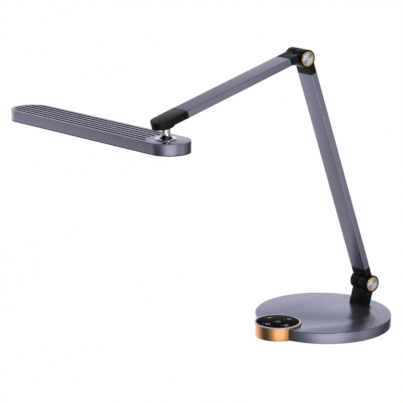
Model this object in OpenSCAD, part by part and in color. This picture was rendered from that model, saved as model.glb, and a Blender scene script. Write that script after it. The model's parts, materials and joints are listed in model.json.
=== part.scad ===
// Swing arm desk lamp: a round weighted base with a touch control puck, two flat arms on
// friction hinges, and a long flat light head on a ball joint.
// Millimetres, +Z up. The origin is the centre of the base's underside, on the desk.
// X runs along the hinge axles. The front, where the puck is, looks along -Y.

/* [Base] */
// Diameter of the base disc
base_d = 200; // [194:1:210]
// Height of the base's top face above the desk
base_h = 17.6; // [17:0.2:20]
// Wall of the base shell
base_wall = 2.4; // [1.6:0.2:2.6]
// Thickness of the rubber feet
foot_t = 1.6; // [1.2:0.2:2]
// Thickness of the steel ballast plate
ballast_t = 9; // [6:0.5:9]

/* [Control puck] */
// Diameter of the control puck
puck_d = 67.8; // [64:0.2:70]
// Distance from the base's centre to the puck's centre
puck_reach = 87; // [84:0.5:90]
// Height of the puck's top above the base's top face
puck_proud = 3; // [2:0.2:4]
// Gap between the puck and the base round it
puck_gap = 0.9; // [0.6:0.1:1.2]
// Width of the silver rim round the touch glass
bezel_w = 2.5; // [1.8:0.1:3]

/* [Hinges] */
// Distance of the base hinge behind the base's centre
hinge_back = 81.9; // [79:0.5:84]
// Height of the base hinge above the desk
hinge_up = 50.1; // [48:0.5:56]
// Radius of the hinge barrels
barrel_r = 12.8; // [12.4:0.1:13.4]
// Length of a hinge barrel along its axle
barrel_w = 35.2; // [34.8:0.2:37]
// Radius of the hinge axles
axle_r = 3; // [2.6:0.1:3.2]

/* [Arms] */
// Width of the arms
arm_w = 30; // [28:0.5:32]
// Thickness of the arms
arm_t = 10.5; // [10:0.1:11]
// Wall of the arm tubes
tube_wall = 1.3; // [1:0.1:1.5]
// Length of the lower arm from hinge to hinge
lower_len = 376.9; // [340:1:400]
// Length of the upper arm from the elbow hinge to the ball's centre
upper_len = 243.5; // [220:1:270]
// Forward lean of the lower arm from upright, in degrees
lower_lean = 19.9; // [10:0.5:30]
// Downward slope of the upper arm from level, in degrees
upper_slope = 16.1; // [10:0.5:20]

/* [Ball joint] */
// Radius of the ball
ball_r = 8.5; // [8.3:0.1:8.6]
// Distance from the ball's centre down to the head's top face
stem_len = 20.5; // [20:0.5:24]
// Radius of the stem's round flange
flange_r = 15.3; // [13:0.1:16]

/* [Head] */
// Length of the head
head_len = 360.2; // [320:1:380]
// Width of the head
head_w = 60.2; // [58:0.2:64]
// Thickness of the head
head_t = 16.3; // [16:0.1:18]
// Distance from the stem to the middle of the head's near round end
stem_inset = 6.1; // [4:0.1:8]
// Turn of the head from square to the arm, in degrees
head_yaw = 5.2; // [0:0.1:10]
// Number of cooling grooves along the head
groove_n = 6; // [4:1:6]
// Spacing of the cooling grooves
groove_pitch = 9; // [8.6:0.1:9]
// Width of one cooling groove
groove_w = 5.4; // [4.4:0.1:5.6]
// Depth of the cooling grooves
groove_depth = 2.2; // [1.6:0.1:2.4]

/* [Hidden] */
$fn = 96;
cut = 1;                                   // how far a cutting tool runs past a face

// Colours
satin_metal = [0.62, 0.61, 0.67];
black_plastic = [0.09, 0.09, 0.09];
copper = [0.86, 0.52, 0.28];
silver = [0.86, 0.86, 0.88];
gold = [0.85, 0.62, 0.25];
steel = [0.55, 0.56, 0.58];
rubber = [0.13, 0.13, 0.13];
board_green = [0.1, 0.35, 0.2];
white_plastic = [0.92, 0.92, 0.92];
nylon = [0.88, 0.86, 0.78];

// Base levels, measured up from the desk
base_r = base_d / 2;
cover_t = 1.5;
cover_top = foot_t + cover_t;
base_ceiling = base_h - base_wall;
rim_chamfer = 0.7;
cover_fit = 0.3;
foot_ring_in = 83;
foot_ring_out = 93;
foot_pad_r = 12;                           // round pad of the ring's rubber under the middle
boss_ring = 76;                            // radius of the circle of screw bosses
boss_angles = [35, 145, 215, 325];
boss_r = 4.5;
boss_screw_r = 1.5;
boss_screw_len = 7;
boss_screw_head_r = 3.1;
boss_screw_head_t = 0.7;
screw_sink = 0.8;                          // depth of the cover's screw recesses
post_r = 3;                                // posts that carry the driver board
board_x = 52;
board_y = 30;
board_mid_y = 32;
board_t = 1.6;
board_posts = [[-22, 20], [22, 44]];
board_level = cover_top + 2;
board_screw_r = 1;
inlet_w = 9;
inlet_deep = 14;
inlet_tall = 10.6;
inlet_hole_r = 4.2;
inlet_mid_z = cover_top + 0.2 + inlet_tall / 2;
socket_r_in = 2.8;                         // bore that takes the plug
socket_pin_r = 1;
socket_deep = 10;
socket_pin_back = 2;                       // pin's tip behind the rim of the base
ribbon_w = 12;
ribbon_t = 0.4;
channel_w = 18;                            // groove under the ballast for the ribbon
channel_deep = 1.5;

// Puck levels
puck_r = puck_d / 2;
puck_top = base_h + puck_proud;
puck_wall = 2;
puck_bottom = 0.9;
bezel_t = 0.8;
notch_r = puck_r + puck_gap;
glass_t = 1.8;
glass_top = puck_top - 0.2;
touch_board_z = glass_top - glass_t - board_t - 0.4;
neck_w = 34;                               // bridge of the cover from the base to the puck
neck_room = 1.2;                           // opening above that bridge

// Hinge stack, measured from the middle of the barrel along the axle
half_gap = 0.3;
barrel_half = barrel_w / 2;
cap_depth = 2;
cap_floor = barrel_half - cap_depth;
room_floor = 10.9;
room_r = 7.5;
cap_r = 10.8;
ring_w = 2.1;
fit = 0.05;
thread_fit = 0.02;                         // clearance of screws and pegs in their holes
washer_fit = 0.1;                          // clearance of washers on their axles
screw_gap = 0.2;                           // clearance of cover screws in the cover
bracket_thread = 0.3;                      // how far the bracket's holes are under its screws
driver_block = [16, 14, 6];
driver_plug = [12, 5, 5];
driver_can_r = 4;
driver_can_h = 6.5;
led_size = [3.5, 2.8, 0.8];
led_plug = [6, 12, 3.5];
stem_washer_r = 7;
stem_washer_t = 0.7;
stem_nut_r = 6.8;
stem_nut_t = 2;
rim_ledge = 3;                             // step inside the base's wall
board_margin = 3;                          // ballast kept clear of the driver board
puck_foot_in = 7;                          // foot's edge inside the puck's
seal_gap = 0.3;                            // gap round the diffuser and reflector
reflector_out = 1.2;
lead_turn = 60;                            // where the lead starts below the elbow
axle_bore_r = 1.6;
washer_half = 0.22;
seat_rise = 9;                             // how near the axle a round seat's edges come
seat_gap = 0.3;                            // from a barrel to the round seat beside it
shoulder = barrel_r + 0.6;                 // where the block is cut for the other half
fold_offset = arm_t / 2 + 0.4;             // hinge line to arm centre line at the elbow

// Bracket under the base hinge
lug_lean = 15.6;
lug_t = 13.6;
lug_foot_y = hinge_back - (hinge_up - base_h) * tan(lug_lean);
bracket_screw_x = [-9, 3];
bracket_screw_r = 2;
bracket_screw_len = 12;
wire_r = 2;
wire_x = 10;

// Arm stations, measured from each arm's own lower hinge
lower_tube_start = 26.6;
lower_tube_end = lower_len - 26.5;
upper_tube_start = 28.6;
upper_tube_end = upper_len - 29;
nose_end = upper_len + 5.5;
spigot_len = 18;
spigot_fit = 0.1;
arm_chamfer = 0.5;
grub_r = 1.5;
grub_in = 9;                               // grub screw to the tube's end
lead_r = 1.3;

// Ball joint
ball_drop = 4.9;                           // ball centre below the upper arm's centre line
seat_top = 6.5;
seat_bottom = 2.6;
seat_r = 9.8;
socket_r = seat_r + 0.1;
socket_gap = 0.2;
collar_top = ball_drop - arm_t / 2;
collar_deep = 4.2;
collar_r = 13.8;
collar_foot_r = 10.2;
collar_mouth_r = 8.4;                      // flared lower edge of the collar's opening
collar_lip = 0.8;                          // height of that flare
stem_r = 6;
flare_r = 8.5;                             // radius of the stem's concave foot
flange_edge = 1.6;                         // flange's height from the head to the foot's start
stem_peg_r = 2.45;                         // peg that holds the stem in the ball
stem_peg_top = 2.5;
stem_bore_r = 1.5;
pin_r = 4;
pin_end = stem_len + 10.3;
ball_flat = sqrt(ball_r * ball_r - stem_r * stem_r);

// Head levels, measured down from the head's top face
head_r = head_w / 2;
head_far = stem_inset - (head_len - head_w);
head_roof = groove_depth + 1.4;
head_wall = 1.8;
field_r = head_r - 4.8;
field_clear_r = 27.5;
bezel_deep = 1.2;
diffuser_t = 1.8;
diffuser_lip = 1.2;
pivot_boss_r = 8;
pivot_boss_deep = 7.2;
led_board_t = 1;
led_board_from = -24;
led_board_to = head_far - 18;
led_board_w = 44;
led_n = 26;
led_row_y = 12;
led_screw_n = 5;
led_screw_r = 1;

// Places worked out from the arms' lengths and angles
elbow_y = hinge_back - fold_offset * cos(lower_lean) - lower_len * sin(lower_lean);
elbow_z = hinge_up - fold_offset * sin(lower_lean) + lower_len * cos(lower_lean);
ball_up = fold_offset - ball_drop;
ball_y = elbow_y - upper_len * cos(upper_slope) - ball_up * sin(upper_slope);
ball_z = elbow_z - upper_len * sin(upper_slope) + ball_up * cos(upper_slope);

// ---- Frames ----

// Base hinge axle, upright
module at_tilt() translate([0, hinge_back, hinge_up]) children();

// Lower arm: +Z runs up the arm from the base hinge, -Y is its front
module at_lower() at_tilt() rotate([lower_lean, 0, 0]) children();

// Elbow axle, in line with the lower arm
module at_elbow() at_lower() translate([0, -fold_offset, lower_len]) children();

// Upper arm: +Z runs along the arm from the elbow axle, +Y is its top
module at_upper() translate([0, elbow_y, elbow_z]) rotate([90 + upper_slope, 0, 0]) children();

// Ball socket: the ball's centre, square to the upper arm
module at_socket() translate([0, ball_y, ball_z]) rotate([upper_slope, 0, 0]) children();

// Stem: the ball's centre, upright
module at_stem() translate([0, ball_y, ball_z]) children();

// Head: on the stem's axis at the head's top face, +X away from the long end
module at_head() translate([0, ball_y, ball_z - stem_len]) rotate([0, 0, head_yaw]) children();

// Mirrored to the left for side -1, as it is for side 1
module on_side(side) {
    if (side < 0)
        mirror([1, 0, 0]) children();
    else
        children();
}

// ---- Shared shapes ----

// Cylinder along X
module x_rod(r, x0, x1) translate([x0, 0, 0]) rotate([0, 90, 0]) cylinder(r = r, h = x1 - x0);

// Ring along X
module x_ring(r_out, r_in, x0, x1) difference() {
    x_rod(r_out, x0, x1);
    x_rod(r_in, x0 - cut, x1 + cut);
}

// Slab between two heights
module slab(z0, z1) translate([0, 0, z0]) linear_extrude(z1 - z0) children();

// Rectangle with its corners cut off
module bar_section(w, t, c) polygon([
    [c - w / 2, -t / 2], [w / 2 - c, -t / 2], [w / 2, c - t / 2], [w / 2, t / 2 - c],
    [w / 2 - c, t / 2], [c - w / 2, t / 2], [-w / 2, t / 2 - c], [-w / 2, c - t / 2]]);

// Arm section and the section of what slides into it
module arm_section() bar_section(arm_w, arm_t, arm_chamfer);
module spigot_section() bar_section(
    arm_w - 2 * (tube_wall + spigot_fit), arm_t - 2 * (tube_wall + spigot_fit), arm_chamfer);

// Round-ended outline of the head, as wide as twice r
module head_outline(r) {
    translate([stem_inset, 0]) circle(r);
    translate([head_far, 0]) circle(r);
    translate([head_far, -r]) square([stem_inset - head_far, 2 * r]);
}

// Screw pointing up, its head's underside at z 0
module screw_up(r, length, head_r, head_t) {
    cylinder(r = r, h = length);
    translate([0, 0, -head_t]) difference() {
        cylinder(r = head_r, h = head_t);
        translate([0, 0, -cut]) cylinder(r = head_r * 0.5, h = cut + head_t * 0.5, $fn = 6);
    }
}

// ---- Base ----

// Base outline with the round bite that takes the puck
module base_outline(r, bite_r) difference() {
    circle(r);
    translate([0, -puck_reach]) circle(bite_r);
}

// Repeats at each screw boss of the base
module at_bosses() for (a = boss_angles)
    translate([boss_ring * cos(a), boss_ring * sin(a), 0]) children();

// Bridge from the base to the puck, between two heights
module neck(w, z0, z1) translate([-w / 2, -puck_reach, z0])
    cube([w, puck_r + puck_gap + base_wall + 5, z1 - z0]);

module base_body() difference() {
    union() {
        slab(foot_t, base_h - rim_chamfer) base_outline(base_r, notch_r);
        translate([0, 0, base_h - rim_chamfer]) difference() {
            cylinder(r1 = base_r, r2 = base_r - rim_chamfer, h = rim_chamfer);
            translate([0, -puck_reach, -cut]) cylinder(r = notch_r, h = rim_chamfer + 2 * cut);
        }
    }
    slab(foot_t - cut, base_ceiling) base_outline(base_r - base_wall, notch_r + base_wall);
}

module base_shell() color(satin_metal) difference() {
    union() {
        base_body();
        at_bosses() translate([0, 0, cover_top]) cylinder(r = boss_r, h = base_ceiling - cover_top + 0.5);
    }
    at_bosses() translate([0, 0, cover_top - cut]) cylinder(r = boss_screw_r, h = 9 + cut);
    neck(neck_w, foot_t - cut, cover_top + neck_room);
    for (x = bracket_screw_x)
        translate([x, lug_foot_y, base_ceiling - cut])
            cylinder(r = bracket_screw_r + fit, h = base_wall + 2 * cut);
    translate([wire_x, lug_foot_y, base_ceiling - cut]) cylinder(r = wire_r, h = base_wall + 2 * cut);
    translate([0, base_r + cut, inlet_mid_z]) rotate([90, 0, 0])
        cylinder(r = inlet_hole_r, h = base_wall + 3);
}

module bottom_cover() color(black_plastic) difference() {
    union() {
        slab(foot_t, cover_top) {
            base_outline(base_r - base_wall - cover_fit, notch_r + base_wall + cover_fit);
            translate([0, -puck_reach]) circle(puck_r - puck_wall - cover_fit);
        }
        neck(neck_w - 2 * cover_fit, foot_t, cover_top);
        for (p = board_posts)
            translate([p[0], p[1], foot_t + cut / 2])
                cylinder(r = post_r, h = board_level - foot_t - cut / 2);
    }
    at_bosses() {
        translate([0, 0, foot_t - cut]) cylinder(r = boss_screw_r + screw_gap, h = cover_t + 2 * cut);
        translate([0, 0, foot_t - cut]) cylinder(r = boss_screw_head_r + screw_gap, h = cut + screw_sink);
    }
    for (p = board_posts)
        translate([p[0], p[1], foot_t + screw_sink]) cylinder(r = board_screw_r, h = board_level);
}

module ballast_plate() color(steel) difference() {
    slab(cover_top, cover_top + ballast_t)
        base_outline(base_r - base_wall - rim_ledge, notch_r + base_wall + rim_ledge);
    at_bosses() cylinder(r = boss_r + 0.6, h = base_h);
    translate([-board_x / 2 - board_margin, board_mid_y - board_y / 2 - board_margin, 0])
        cube([board_x + 2 * board_margin, board_y + 2 * board_margin, base_h]);
    translate([-channel_w / 2, -puck_reach, 0])
        cube([channel_w, puck_reach + board_mid_y, cover_top + channel_deep]);
    translate([-inlet_w / 2 - 1, base_r - base_wall - inlet_deep - 2, 0])
        cube([inlet_w + 2, base_r, base_h]);
}

module foot_ring() color(rubber) slab(0, foot_t) {
    difference() {
        base_outline(foot_ring_out, notch_r + base_wall + rim_ledge);
        circle(foot_ring_in);
    }
    circle(foot_pad_r);
}

module puck_foot() color(rubber) translate([0, -puck_reach, 0])
    cylinder(r = puck_r - puck_foot_in, h = foot_t);

module cover_screws() color(steel) at_bosses() translate([0, 0, foot_t + screw_sink])
    screw_up(boss_screw_r - fit, boss_screw_len, boss_screw_head_r, boss_screw_head_t);

module driver_board() {
    color(board_green) difference() {
        translate([-board_x / 2, board_mid_y - board_y / 2, board_level]) cube([board_x, board_y, board_t]);
        for (p = board_posts)
            translate([p[0], p[1], board_level - cut])
                cylinder(r = board_screw_r + 0.3, h = board_t + 2 * cut);
    }
    color(black_plastic) translate([-10, board_mid_y - 8, board_level + board_t]) cube(driver_block);
    color(steel) translate([14, board_mid_y - 6, board_level + board_t])
        cylinder(r = driver_can_r, h = driver_can_h);
    color(white_plastic) translate([-6, board_mid_y + 8, board_level + board_t]) cube(driver_plug);
}

module driver_screws() color(steel) for (p = board_posts)
    translate([p[0], p[1], board_level + board_t]) rotate([180, 0, 0])
        screw_up(board_screw_r - fit, 4, 2, 1.2);

module power_inlet() color(black_plastic) difference() {
    union() {
        translate([-inlet_w / 2, base_r - base_wall - inlet_deep - 0.4, inlet_mid_z - inlet_tall / 2])
            cube([inlet_w, inlet_deep, inlet_tall]);
        translate([0, base_r - base_wall - 1, inlet_mid_z]) rotate([-90, 0, 0])
            cylinder(r = inlet_hole_r - fit, h = base_wall + 0.4);
    }
    difference() {
        translate([0, base_r + cut, inlet_mid_z]) rotate([90, 0, 0])
            cylinder(r = socket_r_in, h = socket_deep + cut);
        translate([0, base_r - socket_pin_back, inlet_mid_z]) rotate([90, 0, 0])
            cylinder(r = socket_pin_r, h = socket_deep + 2 * cut);
    }
}

module touch_ribbon() color("chocolate") {
    rise_y = -puck_reach + 20;
    translate([-ribbon_w / 2, rise_y, cover_top]) cube([ribbon_w, board_mid_y - 10 - rise_y, ribbon_t]);
    translate([-ribbon_w / 2, rise_y, cover_top])
        cube([ribbon_w, ribbon_t, touch_board_z - cover_top]);
}

// ---- Puck ----

module at_puck() translate([0, -puck_reach, 0]) children();

module puck_shell() color(copper) difference() {
    at_puck() difference() {
        translate([0, 0, puck_bottom]) cylinder(r = puck_r, h = puck_top - bezel_t - puck_bottom);
        cylinder(r = puck_r - puck_wall, h = puck_top + cut);
    }
    neck(neck_w, -cut, cover_top + neck_room);
}

module puck_bezel() color(silver) at_puck() translate([0, 0, puck_top - bezel_t]) difference() {
    union() {
        cylinder(r = puck_r, h = bezel_t / 2);
        translate([0, 0, bezel_t / 2]) cylinder(r1 = puck_r, r2 = puck_r - bezel_t / 2, h = bezel_t / 2);
    }
    translate([0, 0, -cut]) cylinder(r = puck_r - bezel_w, h = bezel_t + 2 * cut);
}

module puck_carrier() color(black_plastic) difference() {
    at_puck() translate([0, 0, cover_top]) difference() {
        cylinder(r = puck_r - puck_wall - 0.2, h = touch_board_z - cover_top);
        translate([0, 0, -cut]) cylinder(r = puck_r - puck_wall - 2.4, h = puck_top);
    }
    neck(neck_w, 0, cover_top + neck_room);
}

module touch_board() color(board_green) at_puck()
    translate([0, 0, touch_board_z]) cylinder(r = puck_r - puck_wall - 0.3, h = board_t);

module touch_glass() color(black_plastic) at_puck()
    translate([0, 0, glass_top - glass_t]) cylinder(r = puck_r - bezel_w - fit, h = glass_t);

// ---- Hinges ----

// Half of a hinge barrel, on the right for side 1
module half_barrel(side) on_side(side) x_rod(barrel_r, half_gap, barrel_half);

// What is cut out of a half barrel: the axle's bore, the room for its nut or flange, the cap's seat
module barrel_bores(side) on_side(side) {
    x_rod(axle_r + fit, half_gap - cut, room_floor + cut);
    x_rod(room_r, room_floor, cap_floor + cut);
    x_rod(cap_r, cap_floor, barrel_half + cut);
}

// What is cut out of a block so that the other half barrel can turn inside its round seat
module other_half_seat(side) on_side(side) x_rod(barrel_r + seat_gap, -arm_w, half_gap);

// The same for a block that ends in a straight shoulder; the block lies
// towards +Z of the axle for dir 1 and towards -Z for dir -1
module other_half_room(side, dir) on_side(side)
    translate([-arm_w, -arm_w, dir > 0 ? -arm_w : -shoulder])
        cube([arm_w + half_gap, 2 * arm_w, arm_w + shoulder]);

module hollow_axle() difference() {
    union() {
        x_rod(axle_r, -room_floor - 4, room_floor + cut);
        x_rod(room_r - 1.8, room_floor, room_floor + 2.2);
    }
    x_rod(axle_bore_r, -room_r * 3, room_r * 3);
}

module spring_washer() x_ring(axle_r + 2.6, axle_r + washer_fit, -room_floor - 1.1, -room_floor - 0.1);

module axle_nut() difference() {
    translate([-room_floor - 3.5, 0, 0]) rotate([0, 90, 0]) cylinder(r = axle_r + 2.8, h = 2.3, $fn = 6);
    x_rod(axle_r + thread_fit, -room_floor - 3.5 - cut, -room_floor);
}

module friction_washer() x_ring(cap_r - 0.6, axle_r + washer_fit, -washer_half, washer_half);

module cap_ring(side) on_side(side) difference() {
    union() {
        x_rod(cap_r - fit, cap_floor, barrel_half);
        translate([barrel_half, 0, 0]) rotate([0, 90, 0])
            cylinder(r1 = cap_r - fit, r2 = cap_r - fit - 0.3, h = 0.3);
    }
    x_rod(cap_r - ring_w, cap_floor - cut, barrel_half + cut);
}

module cap_disc(side) on_side(side) x_rod(cap_r - ring_w - fit, cap_floor, barrel_half + 0.1);

module tilt_axle() color(steel) at_tilt() hollow_axle();
module tilt_spring_washer() color(steel) at_tilt() spring_washer();
module tilt_nut() color(steel) at_tilt() axle_nut();
module tilt_friction_washer() color(nylon) at_tilt() friction_washer();
module tilt_ring_right() color(gold) at_tilt() cap_ring(1);
module tilt_disc_right() color(silver) at_tilt() cap_disc(1);
module tilt_ring_left() color(gold) at_tilt() cap_ring(-1);
module tilt_disc_left() color(silver) at_tilt() cap_disc(-1);
module elbow_axle() color(steel) at_elbow() hollow_axle();
module elbow_spring_washer() color(steel) at_elbow() spring_washer();
module elbow_nut() color(steel) at_elbow() axle_nut();
module elbow_friction_washer() color(nylon) at_elbow() friction_washer();
module elbow_ring_right() color(gold) at_elbow() cap_ring(1);
module elbow_disc_right() color(silver) at_elbow() cap_disc(1);
module elbow_ring_left() color(gold) at_upper() cap_ring(-1);
module elbow_disc_left() color(silver) at_upper() cap_disc(-1);

module hinge_bracket() color(black_plastic) difference() {
    at_tilt() rotate([-lug_lean, 0, 0]) difference() {
        union() {
            half_barrel(1);
            translate([-arm_w / 2, -lug_t / 2, -hinge_up]) cube([arm_w, lug_t, hinge_up]);
        }
        other_half_seat(1);
        translate([-arm_w, -arm_w, -seat_rise]) cube([arm_w + half_gap, 2 * arm_w, arm_w]);
        barrel_bores(1);
        translate([wire_x, 0, -hinge_up]) cylinder(r = wire_r, h = hinge_up - room_r + cut);
    }
    translate([-base_r, 0, -base_r]) cube([base_d, base_d, base_r + base_h]);
    for (x = bracket_screw_x)
        translate([x, lug_foot_y, base_h - cut])
            cylinder(r = bracket_screw_r - bracket_thread, h = bracket_screw_len - base_wall + 2 * cut);
}

module bracket_screws() color(steel) for (x = bracket_screw_x)
    translate([x, lug_foot_y, base_ceiling]) screw_up(bracket_screw_r - 0.35, bracket_screw_len, 3.5, 2.4);

// ---- Lower arm ----

module lower_foot_connector() color(black_plastic) at_lower() difference() {
    union() {
        half_barrel(-1);
        slab(0, lower_tube_start) arm_section();
        slab(lower_tube_start - cut, lower_tube_start + spigot_len) spigot_section();
    }
    other_half_seat(-1);
    translate([-half_gap, -arm_w, -arm_w + seat_rise]) cube([arm_w + half_gap, 2 * arm_w, arm_w]);
    barrel_bores(-1);
    translate([-wire_x, 0, room_r - cut]) cylinder(r = wire_r, h = lower_len);
    translate([0, 0, lower_tube_start + grub_in]) rotate([-90, 0, 0])
        cylinder(r = grub_r + thread_fit, h = arm_t);
}

module lower_tube() color(satin_metal) at_lower() difference() {
    slab(lower_tube_start, lower_tube_end) arm_section();
    slab(lower_tube_start - cut, lower_tube_end + cut)
        bar_section(arm_w - 2 * tube_wall, arm_t - 2 * tube_wall, arm_chamfer);
    for (s = [lower_tube_start + grub_in, lower_tube_end - grub_in])
        translate([0, 0, s]) rotate([-90, 0, 0]) cylinder(r = grub_r + fit, h = arm_t);
}

module lower_elbow_connector() color(black_plastic) at_lower() difference() {
    union() {
        translate([0, -fold_offset, lower_len]) half_barrel(1);
        slab(lower_tube_end, lower_len) arm_section();
        slab(lower_tube_end - spigot_len, lower_tube_end + cut) spigot_section();
    }
    translate([0, -fold_offset, lower_len]) {
        other_half_room(1, -1);
        barrel_bores(1);
    }
    translate([wire_x, 0, lower_len - lead_turn])
        cylinder(r = wire_r, h = lead_turn - room_r / 2);
    translate([0, 0, lower_tube_end - grub_in]) rotate([-90, 0, 0])
        cylinder(r = grub_r + thread_fit, h = arm_t);
}

module grub_screw(depth) translate([0, arm_t / 2 - 0.3 - depth, 0]) rotate([-90, 0, 0]) difference() {
    cylinder(r = grub_r, h = depth);
    translate([0, 0, depth - 1]) cylinder(r = grub_r * 0.5, h = 1 + cut, $fn = 6);
}

module lower_grub_screws() color(steel) at_lower()
    for (s = [lower_tube_start + grub_in, lower_tube_end - grub_in])
        translate([0, 0, s]) grub_screw(4);

// Straight lead inside a tube, from one side's wire bore to the other's
module tube_lead(x0, z0, x1, z1) translate([x0, 0, z0])
    rotate([0, atan((x1 - x0) / (z1 - z0)), 0]) cylinder(r = lead_r, h = norm([x1 - x0, z1 - z0]));

module lower_lead() color(black_plastic) at_lower()
    tube_lead(-wire_x, lower_tube_start + spigot_len, wire_x, lower_tube_end - spigot_len);

// ---- Upper arm ----

module upper_elbow_connector() color(black_plastic) at_upper() difference() {
    union() {
        half_barrel(-1);
        translate([0, fold_offset, 0]) {
            slab(0, upper_tube_start) arm_section();
            slab(upper_tube_start - cut, upper_tube_start + spigot_len) spigot_section();
        }
    }
    other_half_room(-1, 1);
    barrel_bores(-1);
    translate([-wire_x, fold_offset, room_r / 2]) cylinder(r = wire_r, h = upper_len);
    translate([0, fold_offset, upper_tube_start + grub_in]) rotate([90, 0, 0])
        cylinder(r = grub_r + thread_fit, h = arm_t);
}

module upper_tube() color(satin_metal) at_upper() translate([0, fold_offset, 0]) difference() {
    slab(upper_tube_start, upper_tube_end) arm_section();
    slab(upper_tube_start - cut, upper_tube_end + cut)
        bar_section(arm_w - 2 * tube_wall, arm_t - 2 * tube_wall, arm_chamfer);
    for (s = [upper_tube_start + grub_in, upper_tube_end - grub_in])
        translate([0, 0, s]) rotate([90, 0, 0]) cylinder(r = grub_r + fit, h = arm_t);
}

module upper_grub_screws() color(steel) at_upper() translate([0, fold_offset, 0])
    for (s = [upper_tube_start + grub_in, upper_tube_end - grub_in])
        translate([0, 0, s]) mirror([0, 1, 0]) grub_screw(4);

module upper_lead() color(black_plastic) at_upper() translate([0, fold_offset, 0])
    tube_lead(-wire_x, upper_tube_start + spigot_len, 0, upper_tube_end - spigot_len);

module nose_housing() color(black_plastic) difference() {
    at_upper() translate([0, fold_offset, 0]) {
        slab(upper_tube_end, nose_end) square([arm_w, arm_t], center = true);
        slab(upper_tube_end - spigot_len, upper_tube_end + cut) spigot_section();
        translate([0, arm_t / 2, nose_end]) rotate([90, 0, 0]) cylinder(r = arm_w / 2, h = arm_t);
    }
    at_socket() {
        translate([0, 0, collar_top - cut]) cylinder(r = socket_r, h = seat_top + 0.1 - collar_top + cut);
        cylinder(r = 6, h = ball_r + 0.4);
    }
    at_upper() translate([0, fold_offset, 0]) {
        translate([0, 0, upper_tube_end - spigot_len - cut]) cylinder(r = wire_r, h = spigot_len + 25);
        translate([0, 0, upper_tube_end - grub_in]) rotate([90, 0, 0])
            cylinder(r = grub_r + thread_fit, h = arm_t);
    }
}

// ---- Ball joint ----

module socket_collar() color(black_plastic) at_socket() difference() {
    rotate_extrude() polygon([
        [0, collar_top], [collar_r, collar_top], [collar_r, -collar_deep / 5],
        [collar_r - 0.6, -collar_deep / 2], [collar_foot_r + 1.2, -collar_deep + 0.5],
        [collar_foot_r, -collar_deep], [0, -collar_deep]]);
    sphere(r = ball_r + socket_gap);
    translate([0, 0, -collar_deep - 0.01])
        cylinder(r1 = collar_mouth_r, r2 = collar_mouth_r - collar_lip / 2, h = collar_lip);
}

module ball_seat() color(nylon) at_socket() difference() {
    translate([0, 0, seat_bottom]) cylinder(r = seat_r, h = seat_top - seat_bottom);
    sphere(r = ball_r + fit);
}

module ball() color(steel) at_stem() difference() {
    sphere(r = ball_r);
    translate([-ball_r, -ball_r, -2 * ball_r - ball_flat]) cube(2 * ball_r);
    translate([0, 0, -ball_r]) cylinder(r = 2.5, h = ball_r - 2);
    cylinder(r = stem_bore_r, h = 3 * ball_r, center = true);
}

// Flared stem: the flare is an arc that runs out into the flange
function flare(n) = [for (i = [0:n])
    let (a = 90 * i / n)
    [stem_r + flare_r * (1 - cos(a)), -(stem_len - flange_edge - flare_r) - flare_r * sin(a)]];

module stem() color(silver) at_stem() difference() {
    rotate_extrude() polygon(concat(
        [[0, -stem_peg_top], [stem_peg_r, -stem_peg_top], [stem_peg_r, -ball_flat], [stem_r, -ball_flat]],
        flare(10),
        [[flange_r, -(stem_len - 0.9)], [flange_r, -(stem_len - 0.15)],
         [pin_r, -(stem_len - 0.15)], [pin_r, -pin_end], [0, -pin_end]]));
    cylinder(r = stem_bore_r, h = 4 * pin_end, center = true);
}

// Repeats under the head's pivot boss, a little way down
module under_boss(down) at_stem() translate([0, 0, -stem_len - pivot_boss_deep - down]) children();

module stem_washer() color(steel) under_boss(0.8) difference() {
    cylinder(r = stem_washer_r, h = stem_washer_t);
    translate([0, 0, -cut]) cylinder(r = pin_r + washer_fit, h = 3);
}

module stem_nut() color(steel) under_boss(2.9) difference() {
    cylinder(r = stem_nut_r, h = stem_nut_t, $fn = 6);
    translate([0, 0, -cut]) cylinder(r = pin_r + thread_fit, h = 4);
}

// ---- Head ----

// Outline of the grooved field, cut round near the stem
module groove_field() intersection() {
    difference() {
        head_outline(field_r);
        circle(field_clear_r);
        translate([-field_clear_r / 5, -head_w]) square(2 * head_w);
    }
    for (i = [0:groove_n - 1])
        translate([head_far - head_w, (i - (groove_n - 1) / 2) * groove_pitch - groove_w / 2])
            square([head_len + head_w, groove_w]);
}

// Place i of n along the LED board, the first and last inset from its ends
function along_board(i, n, inset) =
    led_board_from - inset + i * (led_board_to - led_board_from + 2 * inset) / (n - 1);

module at_led_screws() for (i = [0:led_screw_n - 1])
    translate([along_board(i, led_screw_n, 8), 0, -head_roof]) children();

module head_shell() color(satin_metal) at_head() difference() {
    union() {
        difference() {
            slab(bezel_deep - head_t, 0) head_outline(head_r);
            slab(-head_t - cut, -head_roof) head_outline(head_r - head_wall);
        }
        translate([0, 0, -pivot_boss_deep]) cylinder(r = pivot_boss_r, h = pivot_boss_deep - 1);
    }
    slab(-groove_depth, cut) groove_field();
    translate([0, 0, -head_t]) cylinder(r = pin_r + fit, h = head_t + cut);
    at_led_screws() cylinder(r = led_screw_r, h = 2.6);
}

module led_board() color(white_plastic) at_head() difference() {
    translate([led_board_to, -led_board_w / 2, -head_roof - led_board_t])
        cube([led_board_from - led_board_to, led_board_w, led_board_t]);
    at_led_screws() cylinder(r = led_screw_r + 0.3, h = 4 * led_board_t, center = true);
}

module led_rows() color("gold") at_head() for (i = [0:led_n - 1], side = [-1, 1])
    translate([along_board(i, led_n, 10), side * led_row_y, -head_roof - led_board_t - 0.4])
        cube(led_size, center = true);

module led_screws() color(steel) at_head() at_led_screws()
    translate([0, 0, -led_board_t]) screw_up(led_screw_r - fit, 3.4, 2, 1.1);

module led_connector() color(white_plastic) at_head()
    translate([led_board_from - 7, -20, -head_roof - led_board_t - led_plug.z])
        cube(led_plug);

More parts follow.
